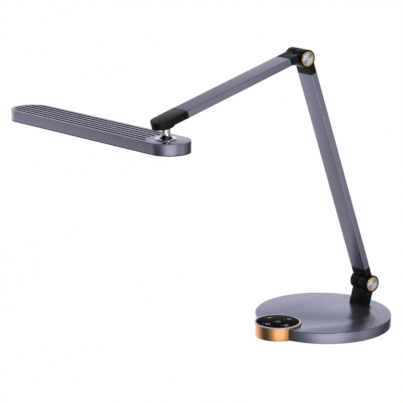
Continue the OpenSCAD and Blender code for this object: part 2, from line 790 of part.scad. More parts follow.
module reflector() color(white_plastic) at_head()
    slab(bezel_deep + diffuser_t - head_t, -head_roof - seal_gap) difference() {
        head_outline(head_r - head_wall - seal_gap);
        head_outline(head_r - head_wall - reflector_out);
    }

module diffuser() color(white_plastic, 0.8) at_head()
    slab(bezel_deep - head_t, bezel_deep + diffuser_t - head_t) head_outline(head_r - head_wall - seal_gap);

module head_bezel() color(black_plastic) at_head() slab(-head_t, bezel_deep - head_t) difference() {
    head_outline(head_r);
    head_outline(head_r - head_wall - diffuser_lip);
}

// ---- One line for each node ----

base_shell();
bottom_cover();
ballast_plate();
foot_ring();
puck_foot();
cover_screws();
driver_board();
driver_screws();
power_inlet();
touch_ribbon();
puck_shell();
puck_bezel();
puck_carrier();
touch_board();
touch_glass();
hinge_bracket();
bracket_screws();
tilt_axle();
tilt_spring_washer();
tilt_nut();
tilt_friction_washer();
tilt_ring_right();
tilt_disc_right();
tilt_ring_left();
tilt_disc_left();
lower_foot_connector();
lower_tube();
lower_grub_screws();
lower_lead();
lower_elbow_connector();
elbow_axle();
elbow_spring_washer();
elbow_nut();
elbow_friction_washer();
elbow_ring_right();
elbow_disc_right();
elbow_ring_left();
elbow_disc_left();
upper_elbow_connector();
upper_tube();
upper_grub_screws();
upper_lead();
nose_housing();
socket_collar();
ball_seat();
ball();
stem();
stem_washer();
stem_nut();
head_shell();
led_board();
led_rows();
led_screws();
led_connector();
reflector();
diffuser();
head_bezel();
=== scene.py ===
"""Looks of a swing arm desk lamp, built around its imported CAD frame.

Lengths are metres unless a name ends in _mm. The origin is the centre of the base's
underside, Z is up, X runs along the hinge axles and the control puck is towards -Y.
"""

import json
import logging
import math
from collections.abc import Iterable
from dataclasses import dataclass, field
from enum import Enum

import bmesh
import bpy
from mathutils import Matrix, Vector


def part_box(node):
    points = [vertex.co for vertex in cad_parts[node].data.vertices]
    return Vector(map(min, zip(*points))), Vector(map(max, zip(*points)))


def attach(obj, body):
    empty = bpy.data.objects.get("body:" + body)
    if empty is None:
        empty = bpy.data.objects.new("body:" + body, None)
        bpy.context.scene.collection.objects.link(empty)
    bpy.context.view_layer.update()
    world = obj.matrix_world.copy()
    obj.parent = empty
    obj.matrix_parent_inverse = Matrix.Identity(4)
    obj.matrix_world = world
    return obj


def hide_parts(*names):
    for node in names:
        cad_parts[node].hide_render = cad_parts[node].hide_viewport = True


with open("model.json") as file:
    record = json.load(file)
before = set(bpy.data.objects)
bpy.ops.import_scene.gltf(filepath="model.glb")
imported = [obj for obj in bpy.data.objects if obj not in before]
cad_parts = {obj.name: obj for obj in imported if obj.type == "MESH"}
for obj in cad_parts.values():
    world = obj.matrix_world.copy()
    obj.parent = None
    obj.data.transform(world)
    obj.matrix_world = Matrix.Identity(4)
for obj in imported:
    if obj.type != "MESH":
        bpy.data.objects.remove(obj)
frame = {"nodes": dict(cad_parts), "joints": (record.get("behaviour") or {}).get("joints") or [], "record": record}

LOG = logging.getLogger("desk_lamp")
MM = 0.001
MERGE_MM = 0.001
FLAT_ANGLE = math.radians(0.4)
CORNER_ANGLE = math.radians(28)
CORNER_STEPS = 3
HEAD_YAW_DEG = 5.2
AROUND_STRETCH = (14, 14, 1)
RUBBED_EDGE = (0.52, 0.60)
SMUDGE_SHARE = 0.35
BODY_OF = {
    node: body
    for body, nodes in frame["record"]["behaviour"]["bodies"].items()
    for node in nodes
}
SLOT_OF = {row["node"]: row["material_slot"] for row in frame["record"]["subparts"]}
JOINT_AT = {joint["name"]: Vector(joint["pos_m"]) for joint in frame["joints"]}


# ---- Finishes ----


def colour_socket(sockets: Iterable[bpy.types.NodeSocket], name: str) -> bpy.types.NodeSocket:
    """The colour socket of a Mix node that has a given name.

    Args:
        sockets: the node's inputs or outputs.
        name: the socket's name.

    Returns:
        The socket.
    """
    return next(socket for socket in sockets if socket.type == "RGBA" and socket.name == name)


class Grain(Enum):
    """How the fine relief of a finish runs."""

    CAST = "cast"
    TURNED = "turned"
    AROUND = "around"


class Shade:
    """Node tree of one material, with short calls to add and join nodes."""

    def __init__(self, name: str) -> None:
        """Start a material.

        Args:
            name: the material's name.
        """
        self.material = bpy.data.materials.new(name)
        self.material.use_nodes = True
        self.tree = self.material.node_tree
        self.skin = self.tree.nodes["Principled BSDF"]
        self.place = self.add("ShaderNodeTexCoord").outputs["Object"]

    def add(self, kind: str, **settings: object) -> bpy.types.Node:
        """Add a node.

        Args:
            kind: Blender's name for the node.
            settings: properties to set on it.

        Returns:
            The new node.
        """
        node = self.tree.nodes.new(kind)
        for name, value in settings.items():
            setattr(node, name, value)
        return node

    def join(self, source: bpy.types.NodeSocket, target: bpy.types.NodeSocket) -> None:
        """Wire one socket to another."""
        self.tree.links.new(source, target)

    def centred(
        self, centre: Vector, turn: tuple[float, float, float], stretch: tuple[float, float, float]
    ) -> bpy.types.NodeSocket:
        """Coordinates measured from a point, turned and stretched.

        Args:
            centre: the point that becomes zero.
            turn: rotation in radians.
            stretch: how much longer the pattern is along each axis.

        Returns:
            The vector socket.
        """
        node = self.add("ShaderNodeMapping", vector_type="TEXTURE")
        node.inputs["Location"].default_value = centre
        node.inputs["Rotation"].default_value = turn
        node.inputs["Scale"].default_value = stretch
        self.join(self.place, node.inputs["Vector"])
        return node.outputs["Vector"]

    def noise(
        self, vector: bpy.types.NodeSocket, size_mm: float, detail: float = 3.0
    ) -> bpy.types.NodeSocket:
        """Noise whose features are about a given size.

        Args:
            vector: coordinates to read.
            size_mm: size of one feature.
            detail: octaves of finer noise.

        Returns:
            The value socket, from 0 to 1.
        """
        node = self.add("ShaderNodeTexNoise")
        node.inputs["Scale"].default_value = 1 / (size_mm * MM)
        node.inputs["Detail"].default_value = detail
        self.join(vector, node.inputs["Vector"])
        return node.outputs["Fac"]

    def ranged(
        self, value: bpy.types.NodeSocket, low: float, high: float, start: float = 0.3, end: float = 0.7
    ) -> bpy.types.NodeSocket:
        """A value spread over a new range.

        Args:
            value: the socket to read.
            low: result at start.
            high: result at end.
            start: value that gives low.
            end: value that gives high.

        Returns:
            The new value socket.
        """
        node = self.add("ShaderNodeMapRange")
        for name, number in (("From Min", start), ("From Max", end), ("To Min", low), ("To Max", high)):
            node.inputs[name].default_value = number
        self.join(value, node.inputs["Value"])
        return node.outputs["Result"]

    def blended(
        self, amount: bpy.types.NodeSocket, first: bpy.types.NodeSocket | tuple, second: tuple
    ) -> bpy.types.NodeSocket:
        """A colour between two others.

        Args:
            amount: 0 for the first, 1 for the second.
            first: a colour or a colour socket.
            second: a colour.

        Returns:
            The colour socket.
        """
        node = self.add("ShaderNodeMix", data_type="RGBA")
        self.join(amount, node.inputs["Factor"])
        start = colour_socket(node.inputs, "A")
        if isinstance(first, tuple):
            start.default_value = (*first, 1)
        else:
            self.join(first, start)
        colour_socket(node.inputs, "B").default_value = (*second, 1)
        return colour_socket(node.outputs, "Result")

    def brushed_around(self, centre: Vector, strength: float) -> None:
        """Stretch highlights as fine circles about an axle along X do.

        Args:
            centre: a point on the axle.
            strength: how strongly, from 0 to 1.
        """
        carried = self.add(
            "ShaderNodeVectorTransform", vector_type="VECTOR", convert_from="OBJECT", convert_to="WORLD"
        )
        self.join(self.centred(centre, (0, 0, 0), (1, 1, 1)), carried.inputs["Vector"])
        self.join(carried.outputs["Vector"], self.skin.inputs["Tangent"])
        self.skin.inputs["Anisotropic"].default_value = strength

    def relief(self, height: bpy.types.NodeSocket, depth_mm: float) -> None:
        """Raise the surface by a height pattern.

        Args:
            height: the pattern, from 0 to 1.
            depth_mm: how deep the pattern is.
        """
        node = self.add("ShaderNodeBump")
        node.inputs["Strength"].default_value = 1.0
        node.inputs["Distance"].default_value = depth_mm * MM
        self.join(height, node.inputs["Height"])
        self.join(node.outputs["Normal"], self.skin.inputs["Normal"])


@dataclass(frozen=True)
class Finish:
    """One surface finish: its colour, gloss, fine relief and wear."""

    name: str
    color: tuple[float, float, float]
    worn: tuple[float, float, float]
    metallic: float
    rough: tuple[float, float]
    grain_mm: float
    depth_mm: float
    grain: Grain = Grain.CAST
    mottle_mm: float = 18.0
    mottle: float = 0.06
    wear: float = 0.25
    coat: float = 0.0
    coat_rough: float = 0.05
    coat_ior: float = 1.5
    centre: tuple[float, float, float] = (0.0, 0.0, 0.0)
    turn: tuple[float, float, float] = (0.0, 0.0, 0.0)
    see_through: float = 0.0
    gloss: float = 0.5
    brushed: float = 0.0

    def pattern(self, shade: Shade) -> bpy.types.NodeSocket:
        """The height pattern of the fine relief.

        Args:
            shade: the material being built.

        Returns:
            The value socket, from 0 to 1.
        """
        if self.grain is Grain.TURNED:
            vector = shade.centred(Vector(self.centre), self.turn, (1, 1, 1))
            rings = shade.add("ShaderNodeTexWave", wave_type="RINGS", rings_direction="Z")
            rings.inputs["Scale"].default_value = 1 / (self.grain_mm * MM * 3)
            rings.inputs["Distortion"].default_value = 0.6
            rings.inputs["Detail"].default_value = 2.0
            shade.join(vector, rings.inputs["Vector"])
            return rings.outputs["Fac"]
        stretch = AROUND_STRETCH if self.grain is Grain.AROUND else (1, 1, 1)
        return shade.noise(shade.centred(Vector(self.centre), self.turn, stretch), self.grain_mm)

    def shadowed(self, shade: Shade, tone: bpy.types.NodeSocket) -> bpy.types.NodeSocket:
        """The tone after any painted light or shade; plain finishes have none.

        Args:
            shade: the material being built.
            tone: the colour so far.

        Returns:
            The colour socket.
        """
        return tone

    def build(self) -> bpy.types.Material:
        """Make the material.

        Returns:
            The material.
        """
        shade = Shade(self.name)
        skin = shade.skin
        skin.inputs["Metallic"].default_value = self.metallic
        skin.inputs["Coat Weight"].default_value = self.coat
        skin.inputs["Coat Roughness"].default_value = self.coat_rough
        skin.inputs["Coat IOR"].default_value = self.coat_ior
        skin.inputs["Transmission Weight"].default_value = self.see_through
        skin.inputs["Specular IOR Level"].default_value = self.gloss
        if self.brushed:
            shade.brushed_around(Vector(self.centre), self.brushed)
        cloud = shade.noise(shade.place, self.mottle_mm, 4.0)
        dark = tuple(c * (1 - self.mottle) for c in self.color)
        light = tuple(min(1.0, c * (1 + self.mottle)) for c in self.color)
        tone = shade.blended(shade.ranged(cloud, 0, 1), dark, light)
        edge = shade.add("ShaderNodeNewGeometry").outputs["Pointiness"]
        # painted light and shade from subclasses: dark groove floors, dark reflection wedges on caps
        tone = self.shadowed(shade, tone)
        rubbed = shade.ranged(edge, 0, self.wear, *RUBBED_EDGE)
        shade.join(shade.blended(rubbed, tone, self.worn), skin.inputs["Base Color"])
        smudge = shade.noise(shade.place, self.mottle_mm * SMUDGE_SHARE, 5.0)
        shade.join(shade.ranged(smudge, *self.rough), skin.inputs["Roughness"])
        shade.relief(self.pattern(shade), self.depth_mm)
        return shade.material


@dataclass(frozen=True)
class GrooveShadeFinish(Finish):
    """A finish with painted shade: darker down inside the head's cooling grooves, where less light reaches."""

    spine_mm: tuple[float, float] = (-293.9, 6.1)
    field_r_mm: float = 25.3
    fade_mm: float = 0.5
    sink_mm: tuple[float, float] = (0.15, 0.8)
    # share of the colour left at the floor of the painted groove shade
    dark: float = 0.24

    def shadowed(self, shade: Shade, tone: bpy.types.NodeSocket) -> bpy.types.NodeSocket:
        """Paint shade: darken the tone below the top face, inside the grooved field only.

        Args:
            shade: the material being built.
            tone: the colour so far.

        Returns:
            The colour socket.
        """
        spot = shade.add("ShaderNodeSeparateXYZ")
        shade.join(
            shade.centred(Vector(self.centre), (0, 0, math.radians(HEAD_YAW_DEG)), (1, 1, 1)),
            spot.inputs["Vector"],
        )
        nearest = shade.add("ShaderNodeClamp")
        nearest.inputs["Min"].default_value, nearest.inputs["Max"].default_value = (
            x * MM for x in self.spine_mm
        )
        shade.join(spot.outputs["X"], nearest.inputs["Value"])
        past = shade.add("ShaderNodeMath", operation="SUBTRACT")
        shade.join(spot.outputs["X"], past.inputs[0])
        shade.join(nearest.outputs["Result"], past.inputs[1])
        across = shade.add("ShaderNodeCombineXYZ")
        shade.join(past.outputs["Value"], across.inputs["X"])
        shade.join(spot.outputs["Y"], across.inputs["Y"])
        reach = shade.add("ShaderNodeVectorMath", operation="LENGTH")
        shade.join(across.outputs["Vector"], reach.inputs[0])
        inside = shade.ranged(
            reach.outputs["Value"], 1, 0, self.field_r_mm * MM, (self.field_r_mm + self.fade_mm) * MM
        )
        deep = shade.ranged(spot.outputs["Z"], 1, 0, -self.sink_mm[1] * MM, -self.sink_mm[0] * MM)
        both = shade.add("ShaderNodeMath", operation="MULTIPLY")
        shade.join(inside, both.inputs[0])
        shade.join(deep, both.inputs[1])
        # painted shade: blend towards a darker copy of the colour down in the grooves
        return shade.blended(both.outputs["Value"], tone, tuple(c * self.dark for c in self.color))


@dataclass(frozen=True)
class CapPaintedReflectionFinish(Finish):
    """Lathe-turned silver with a painted reflection: two opposite dark wedges across the cap's face.

    A wedge starts and is full where the spoke's Y times Z reaches the two values of lean.
    """

    # share of the colour left in the painted reflection's dark wedges
    dark: float = 0.46
    lean: tuple[float, float] = (0.10, 0.42)

    def shadowed(self, shade: Shade, tone: bpy.types.NodeSocket) -> bpy.types.NodeSocket:
        """Paint the reflection's two opposite dark wedges onto the face.

        Args:
            shade: the material being built.
            tone: the colour so far.

        Returns:
            The colour socket.
        """
        spoke = shade.centred(Vector(self.centre), (0, 0, 0), (1, 1, 1))
        flat = shade.add("ShaderNodeVectorMath", operation="MULTIPLY")
        flat.inputs[1].default_value = (0, 1, 1)
        shade.join(spoke, flat.inputs[0])
        unit = shade.add("ShaderNodeVectorMath", operation="NORMALIZE")
        shade.join(flat.outputs["Vector"], unit.inputs[0])
        parts = shade.add("ShaderNodeSeparateXYZ")
        shade.join(unit.outputs["Vector"], parts.inputs["Vector"])
        slant = shade.add("ShaderNodeMath", operation="MULTIPLY")
        shade.join(parts.outputs["Y"], slant.inputs[0])
        shade.join(parts.outputs["Z"], slant.inputs[1])
        wedge = shade.ranged(slant.outputs["Value"], 0, 1, *self.lean)
        # painted reflection: blend towards a darker copy of the colour inside the wedges
        return shade.blended(wedge, tone, tuple(c * self.dark for c in self.color))


class Paints:
    """Every finish of the lamp, each made once when it is first asked for."""

    def __init__(self) -> None:
        """Start with nothing made."""
        self.made: dict[str, bpy.types.Material] = {}

    def get(self, finish: Finish) -> bpy.types.Material:
        """The material of a finish.

        Args:
            finish: the finish wanted.

        Returns:
            Its material.
        """
        if finish.name not in self.made:
            self.made[finish.name] = finish.build()
        return self.made[finish.name]


LAVENDER = (0.33, 0.325, 0.425)
SATIN = Finish(
    "satin_lavender", LAVENDER, (0.62, 0.61, 0.68), 0.9, (0.25, 0.28), 0.5, 0.0003, mottle=0.02, wear=0.0
)
# satin with painted shade in the head's grooves
GROOVE_SHADED = GrooveShadeFinish(
    "satin_groove_shade", LAVENDER, (0.62, 0.61, 0.68), 0.9, (0.25, 0.28), 0.5, 0.0003, mottle=0.02, wear=0.0,
    centre=tuple(JOINT_AT["head_spin"]),
)
MOULDED = Finish(
    "moulded_black", (0.0085, 0.0085, 0.0088), (0.03, 0.03, 0.03), 0.0, (0.28, 0.34), 0.5, 0.001, gloss=0.15
)
COVER = Finish("cover_black", (0.02, 0.02, 0.021), (0.08, 0.08, 0.08), 0.0, (0.5, 0.65), 0.8, 0.03)
RUBBER = Finish("foot_rubber", (0.015, 0.015, 0.015), (0.05, 0.05, 0.05), 0.0, (0.7, 0.85), 0.6, 0.03)
CAST_STEEL = Finish("ballast_steel", (0.16, 0.15, 0.145), (0.35, 0.34, 0.33), 0.8, (0.4, 0.65), 1.4, 0.05)
ZINC = Finish("zinc_steel", (0.55, 0.55, 0.56), (0.75, 0.74, 0.72), 1.0, (0.25, 0.38), 0.4, 0.006)
CHROME = Finish(
    "stem_chrome", (0.72, 0.72, 0.73), (0.85, 0.85, 0.85), 1.0, (0.03, 0.07), 1.2, 0.0006, mottle=0.02
)
COPPER = Finish(
    "puck_copper", (0.88, 0.37, 0.12), (0.97, 0.66, 0.45), 1.0, (0.19, 0.22), 0.12, 0.0008, Grain.AROUND,
    mottle=0.02, wear=0.0, coat=1.0, coat_rough=0.12, coat_ior=1.65,
)
BEZEL = Finish(
    "puck_rim", (0.96, 0.95, 0.96), (0.97, 0.97, 0.97), 0.35, (0.28, 0.34), 0.3, 0.0008, mottle=0.01, wear=0.0
)
GLASS = Finish(
    "touch_glass", (0.012, 0.0052, 0.004), (0.05, 0.04, 0.04), 0.0, (0.06, 0.12), 4.0, 0.0005,
    wear=0.0, gloss=0.002
)
GOLD = Finish("cap_gold", (0.80, 0.47, 0.12), (0.95, 0.75, 0.4), 1.0, (0.18, 0.26), 0.2, 0.003)
NYLON = Finish("seat_nylon", (0.78, 0.75, 0.66), (0.9, 0.88, 0.82), 0.0, (0.45, 0.6), 0.7, 0.02)
BOARD = Finish("circuit_board", (0.015, 0.12, 0.045), (0.3, 0.25, 0.1), 0.0, (0.3, 0.45), 0.9, 0.02, coat=0.4)
FILM = Finish("ribbon_film", (0.22, 0.09, 0.02), (0.4, 0.2, 0.1), 0.0, (0.25, 0.35), 1.5, 0.01)
WHITE = Finish(
    "light_white", (0.85, 0.85, 0.84), (0.95, 0.95, 0.95), 0.0, (0.45, 0.6), 0.6, 0.015, mottle=0.02
)
FROST = Finish(
    "diffuser_frost", (0.86, 0.86, 0.85), (0.95, 0.95, 0.95), 0.0, (0.38, 0.48), 0.35, 0.01,
    mottle=0.015, see_through=0.25,
)
LENS = Finish("led_lens", (0.85, 0.66, 0.14), (0.95, 0.85, 0.5), 0.0, (0.12, 0.2), 0.5, 0.004, coat=0.8)
PRINT = Finish("symbol_print", (0.80, 0.79, 0.80), (0.6, 0.6, 0.6), 0.0, (0.4, 0.5), 0.3, 0.003, wear=0.0)
FAINT = Finish("symbol_faint", (0.46, 0.45, 0.45), (0.2, 0.2, 0.2), 0.0, (0.4, 0.5), 0.3, 0.003, wear=0.0)


def turned_silver_painted_wedges(name: str, centre: Vector) -> Finish:
    """Lathe-turned silver about a hinge axle, with painted reflection wedges on the face.

    Args:
        name: the finish's name.
        centre: a point on the axle.

    Returns:
        The finish.
    """
    return CapPaintedReflectionFinish(
        name, (0.97, 0.97, 0.975), (0.97, 0.97, 0.97), 0.55, (0.30, 0.34), 0.4, 0.0003, Grain.TURNED,
        mottle=0.02, wear=0.0, brushed=0.9, centre=tuple(centre), turn=(0, math.pi / 2, 0),
    )


# ---- Meshes ----


def loose_parts(node: str) -> list[tuple[Vector, Vector]]:
    """Box of every separate solid of a CAD node.

    Args:
        node: the node's name.

    Returns:
        Lowest and highest corner of each solid, in a steady order.
    """
    mesh = bmesh.new()
    mesh.from_mesh(frame["nodes"][node].data)
    bmesh.ops.remove_doubles(mesh, verts=mesh.verts, dist=MERGE_MM * MM)
    seen: set[int] = set()
    boxes = []
    mesh.verts.ensure_lookup_table()
    for start in mesh.verts:
        if start.index in seen:
            continue
        seen.add(start.index)
        waiting, island = [start], []
        while waiting:
            vert = waiting.pop()
            island.append(vert.co.copy())
            for edge in vert.link_edges:
                other = edge.other_vert(vert)
                if other.index not in seen:
                    seen.add(other.index)
                    waiting.append(other)
        low = Vector(min(c[i] for c in island) for i in range(3))
        high = Vector(max(c[i] for c in island) for i in range(3))
        boxes.append((low, high))
    mesh.free()
    return sorted(boxes, key=lambda b: tuple(round(x, 5) for x in b[0]))


def link(name: str, mesh: bpy.types.Mesh) -> bpy.types.Object:
    """Put a mesh into the scene.

    Args:
        name: the piece's name.
        mesh: its mesh.

    Returns:
        The new object, at the origin.
    """
    piece = bpy.data.objects.new(name, mesh)
    bpy.context.scene.collection.objects.link(piece)
    return piece


def settle(piece: bpy.types.Object) -> None:
    """Turn a piece's modifiers into plain mesh.

    Args:
        piece: the object to change.
    """
    graph = bpy.context.evaluated_depsgraph_get()
    done = bpy.data.meshes.new_from_object(piece.evaluated_get(graph), depsgraph=graph)
    piece.modifiers.clear()
    old, piece.data = piece.data, done
    bpy.data.meshes.remove(old)


def soften(piece: bpy.types.Object) -> None:
    """Shade a piece smooth, apart from its real corners."""
    piece.data.shade_smooth()
    piece.data.set_sharp_from_angle(angle=CORNER_ANGLE)


@dataclass(frozen=True)
class ScrewSize:
    """Sizes of one screw, in millimetres."""

    head_r: float
    head_t: float
    shank_r: float
    shank_l: float


@dataclass
class SubAssembly:
    """A group of pieces that is built and dressed together."""

    paints: Paints

    def finished(self, node: str, finish: Finish, bevel_mm: float) -> bpy.types.Object:
        """A copy of a CAD node with its corners rounded, shown in the node's place.

        Args:
            node: the CAD node it stands for.
            finish: its surface finish.
            bevel_mm: radius of the rounded corners.

        Returns:
            The finished piece.
        """
        mesh = bmesh.new()
        mesh.from_mesh(frame["nodes"][node].data)
        bmesh.ops.remove_doubles(mesh, verts=mesh.verts, dist=MERGE_MM * MM)
        bmesh.ops.dissolve_limit(mesh, angle_limit=FLAT_ANGLE, verts=mesh.verts, edges=mesh.edges)
        data = bpy.data.meshes.new(node + "_finished")
        mesh.to_mesh(data)
        mesh.free()
        data.materials.clear()
        data.materials.append(self.paints.get(finish))
        for face in data.polygons:
            face.material_index = 0
        piece = link(node + "_finished", data)
        bevel = piece.modifiers.new("corners", "BEVEL")
        bevel.width = bevel_mm * MM
        bevel.segments = CORNER_STEPS
        bevel.limit_method = "ANGLE"
        bevel.angle_limit = CORNER_ANGLE
        bevel.use_clamp_overlap = False
        settle(piece)
        soften(piece)
        return self.place(piece, BODY_OF[node], SLOT_OF[node], node)

    def dressed(self, node: str, finish: Finish) -> bpy.types.Object:
        """A CAD node kept as it is, with its finish.

        Args:
            node: the node's name.
            finish: its surface finish.

        Returns:
            The node's object.
        """
        piece = frame["nodes"][node]
        for slot in piece.material_slots:
            slot.material = self.paints.get(finish)
        return piece

    def place(
        self, piece: bpy.types.Object, body: str, slot: str, *stands_for: str
    ) -> bpy.types.Object:
        """Tie a piece to its body and the nodes it stands for.

        Args:
            piece: the finished object.
            body: the CAD body that carries it.
            slot: not used.
            stands_for: CAD nodes it replaces.

        Returns:
            The same object.
        """
        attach(piece, body)
        if stands_for:
            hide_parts(*stands_for)
        LOG.info("built %s on %s, %d faces", piece.name, body, len(piece.data.polygons))
        return piece


    def screwed(self, node: str, tree: "Tree", size: ScrewSize) -> None:
        """Put screws with a hexagon recess where a CAD node has its screws.

        Args:
            node: the CAD node they stand for.
            tree: the tree that makes a screw.
            size: the screw's sizes.
        """
        points = [
            Vector(((low.x + high.x) / 2, (low.y + high.y) / 2, low.z + size.head_t * MM))
            for low, high in loose_parts(node)
        ]
        values = {
            "Head Radius": size.head_r * MM,
            "Head Height": size.head_t * MM,
            "Shank Radius": size.shank_r * MM,
            "Shank Length": size.shank_l * MM,
            "Finish": self.paints.get(ZINC),
        }
        piece = grown(node + "_finished", points, tree, values)
        self.place(piece, BODY_OF[node], SLOT_OF[node], node)


# ---- Geometry node trees ----


class Tree:
    """A geometry node tree with named inputs."""

    def __init__(self, name: str) -> None:
        """Start a tree.

        Args:
            name: the tree's name.
        """
        self.group = bpy.data.node_groups.new(name, "GeometryNodeTree")
        face = self.group.interface
        face.new_socket("Geometry", in_out="INPUT", socket_type="NodeSocketGeometry")
        face.new_socket("Geometry", in_out="OUTPUT", socket_type="NodeSocketGeometry")
        self.start = self.group.nodes.new("NodeGroupInput")
        self.end = self.group.nodes.new("NodeGroupOutput")

    def number(self, name: str) -> str:
        """Add a length input and give back its name."""
        self.group.interface.new_socket(name, in_out="INPUT", socket_type="NodeSocketFloat")
        return name

    def paint(self) -> str:
        """Add the material input and give back its name."""
        self.group.interface.new_socket("Finish", in_out="INPUT", socket_type="NodeSocketMaterial")
        return "Finish"

    def add(self, kind: str, wires: dict[str, object] | None = None, **settings: object) -> bpy.types.Node:
        """Add a node and fill its inputs.

        Args:
            kind: Blender's name for the node.
            wires: input name to a value, a socket, or the name of a tree input after "@".
            settings: properties to set on it.

        Returns:
            The new node.
        """
        node = self.group.nodes.new(kind)
        for name, value in settings.items():
            setattr(node, name, value)
        for name, value in (wires or {}).items():
            if isinstance(value, str) and value.startswith("@"):
                self.group.links.new(self.start.outputs[value[1:]], node.inputs[name])
            elif isinstance(value, bpy.types.NodeSocket):
                self.group.links.new(value, node.inputs[name])
            else:
                node.inputs[name].default_value = value
        return node

    def upright(self, z: bpy.types.NodeSocket) -> bpy.types.NodeSocket:
        """A vector along Z as long as a value."""
        return self.add("ShaderNodeCombineXYZ", {"Z": z}).outputs["Vector"]

    def scaled(self, value: str, factor: float) -> bpy.types.NodeSocket:
        """A tree input times a number."""
        return self.add("ShaderNodeMath", {0: "@" + value, 1: factor}, operation="MULTIPLY").outputs[0]

    def spread(self, shape: bpy.types.NodeSocket, turn: tuple[float, float, float]) -> None:
        """Copy a shape onto every point and close the tree.

        Args:
            shape: the geometry to copy.
            turn: its rotation in radians.
        """
        points = self.add("GeometryNodeMeshToPoints", {"Mesh": "@Geometry"})
        copies = self.add(
            "GeometryNodeInstanceOnPoints", {"Points": points.outputs[0], "Instance": shape, "Rotation": turn}
        )
        real = self.add("GeometryNodeRealizeInstances", {"Geometry": copies.outputs[0]})
        done = self.add("GeometryNodeSetMaterial", {"Geometry": real.outputs[0], "Material": "@Finish"})
        self.group.links.new(done.outputs[0], self.end.inputs[0])


def grown(
    name: str, points: list[Vector], tree: Tree, values: dict[str, object]
) -> bpy.types.Object:
    """Run a tree over some points and keep the result as a plain mesh.

    Args:
        name: the piece's name.
        points: where the copies go.
        tree: the tree to run.
        values: tree input name to value.

    Returns:
        The finished object.
    """
    mesh = bpy.data.meshes.new(name)
    mesh.from_pydata([tuple(p) for p in points], [], [])
    piece = link(name, mesh)
    modifier = piece.modifiers.new("copies", "NODES")
    modifier.node_group = tree.group
    sockets = {s.name: s.identifier for s in tree.group.interface.items_tree if s.in_out == "INPUT"}
    for key, value in values.items():
        modifier[sockets[key]] = value
    settle(piece)
    soften(piece)
    return piece


def screw_tree() -> Tree:
    """Screws with a hexagon recess, heads down, the head's underside on each point.

    Returns:
        The tree.
    """
    recess_share = 0.48
    tree = Tree("screws")
    for name in ("Head Radius", "Head Height", "Shank Radius", "Shank Length"):
        tree.number(name)
    tree.paint()
    head = tree.add(
        "GeometryNodeMeshCylinder", {"Vertices": 40, "Radius": "@Head Radius", "Depth": "@Head Height"}
    )
    recess = tree.add(
        "GeometryNodeMeshCylinder",
        {"Vertices": 6, "Radius": tree.scaled("Head Radius", recess_share), "Depth": "@Head Height"},
    )
    sunk = tree.add(
        "GeometryNodeTransform",
        {"Geometry": recess.outputs[0], "Translation": tree.upright(tree.scaled("Head Height", -0.5))},
    )
    cut = tree.add("GeometryNodeMeshBoolean", {"Mesh 1": head.outputs[0]}, operation="DIFFERENCE")
    tree.group.links.new(sunk.outputs[0], cut.inputs["Mesh 2"])
    low = tree.add(
        "GeometryNodeTransform",
        {"Geometry": cut.outputs[0], "Translation": tree.upright(tree.scaled("Head Height", -0.5))},
    )
    shank = tree.add(
        "GeometryNodeMeshCylinder", {"Vertices": 24, "Radius": "@Shank Radius", "Depth": "@Shank Length"}
    )
    high = tree.add(
        "GeometryNodeTransform",
        {"Geometry": shank.outputs[0], "Translation": tree.upright(tree.scaled("Shank Length", 0.5))},
    )
    both = tree.add("GeometryNodeJoinGeometry")
    tree.group.links.new(high.outputs[0], both.inputs[0])
    tree.group.links.new(low.outputs[0], both.inputs[0])
    tree.spread(both.outputs[0], (0, 0, 0))
    return tree


def led_tree(turn: float) -> Tree:
    """LED packages: a small block with a domed lens facing down.

    Args:
        turn: rotation about Z in radians.

    Returns:
        The tree.
    """
    block_share, dome_share, dome_flat = 0.7, 0.36, 0.23
    block_rise, dome_drop = (1 - block_share) / 2, -0.2
    tree = Tree("leds")
    for name in ("Length", "Width", "Height"):
        tree.number(name)
    tree.paint()
    size = tree.add(
        "ShaderNodeCombineXYZ", {"X": "@Length", "Y": "@Width", "Z": tree.scaled("Height", block_share)}
    )
    block = tree.add("GeometryNodeMeshCube", {"Size": size.outputs[0]})
    lifted = tree.add(
        "GeometryNodeTransform",
        {"Geometry": block.outputs[0], "Translation": tree.upright(tree.scaled("Height", block_rise))},
    )
    dome = tree.add(
        "GeometryNodeMeshUVSphere", {"Segments": 10, "Rings": 6, "Radius": tree.scaled("Width", dome_share)}
    )
    flat = tree.add(
        "GeometryNodeTransform",
        {
            "Geometry": dome.outputs[0],
            "Translation": tree.upright(tree.scaled("Height", dome_drop)),
            "Scale": (1.0, 1.0, dome_flat),
        },
    )
    both = tree.add("GeometryNodeJoinGeometry")
    tree.group.links.new(lifted.outputs[0], both.inputs[0])
    tree.group.links.new(flat.outputs[0], both.inputs[0])
    tree.spread(both.outputs[0], (0, 0, turn))
    return tree


def bar_tree() -> Tree:
    """Flat bars along X, one on each point.

    Returns:
        The tree.
    """
    tree = Tree("bars")
    for name in ("Length", "Width", "Height"):
        tree.number(name)
    tree.paint()
    size = tree.add("ShaderNodeCombineXYZ", {"X": "@Length", "Y": "@Width", "Z": "@Height"})
    block = tree.add("GeometryNodeMeshCube", {"Size": size.outputs[0]})
    tree.spread(block.outputs[0], (0, 0, 0))
    return tree


# ---- The lamp ----


@dataclass
class Base(SubAssembly):
    """The weighted base with its cover, feet, driver and socket."""

    screws: Tree | None = None
    cover_screw: ScrewSize = ScrewSize(3.1, 0.7, 1.45, 7.0)

    def build(self) -> None:
        """Build and dress the base."""
        self.finished("base_shell", SATIN, 0.3)
        self.finished("bottom_cover", COVER, 0.2)
        self.finished("foot_ring", RUBBER, 0.25)
        self.finished("puck_foot", RUBBER, 0.25)
        self.finished("power_inlet", MOULDED, 0.15)
        self.dressed("ballast_plate", CAST_STEEL)
        self.dressed("driver_board", BOARD)
        self.dressed("driver_screws", ZINC)
        self.dressed("touch_ribbon", FILM)
        self.dressed("bracket_screws", ZINC)
        self.screwed("cover_screws", self.screws, self.cover_screw)


class Symbol(Enum):
    """What a touch key shows."""

    MOON = "moon"
    SUN = "sun"
    POWER = "power"
    CLOCK = "clock"
    TONE = "tone"


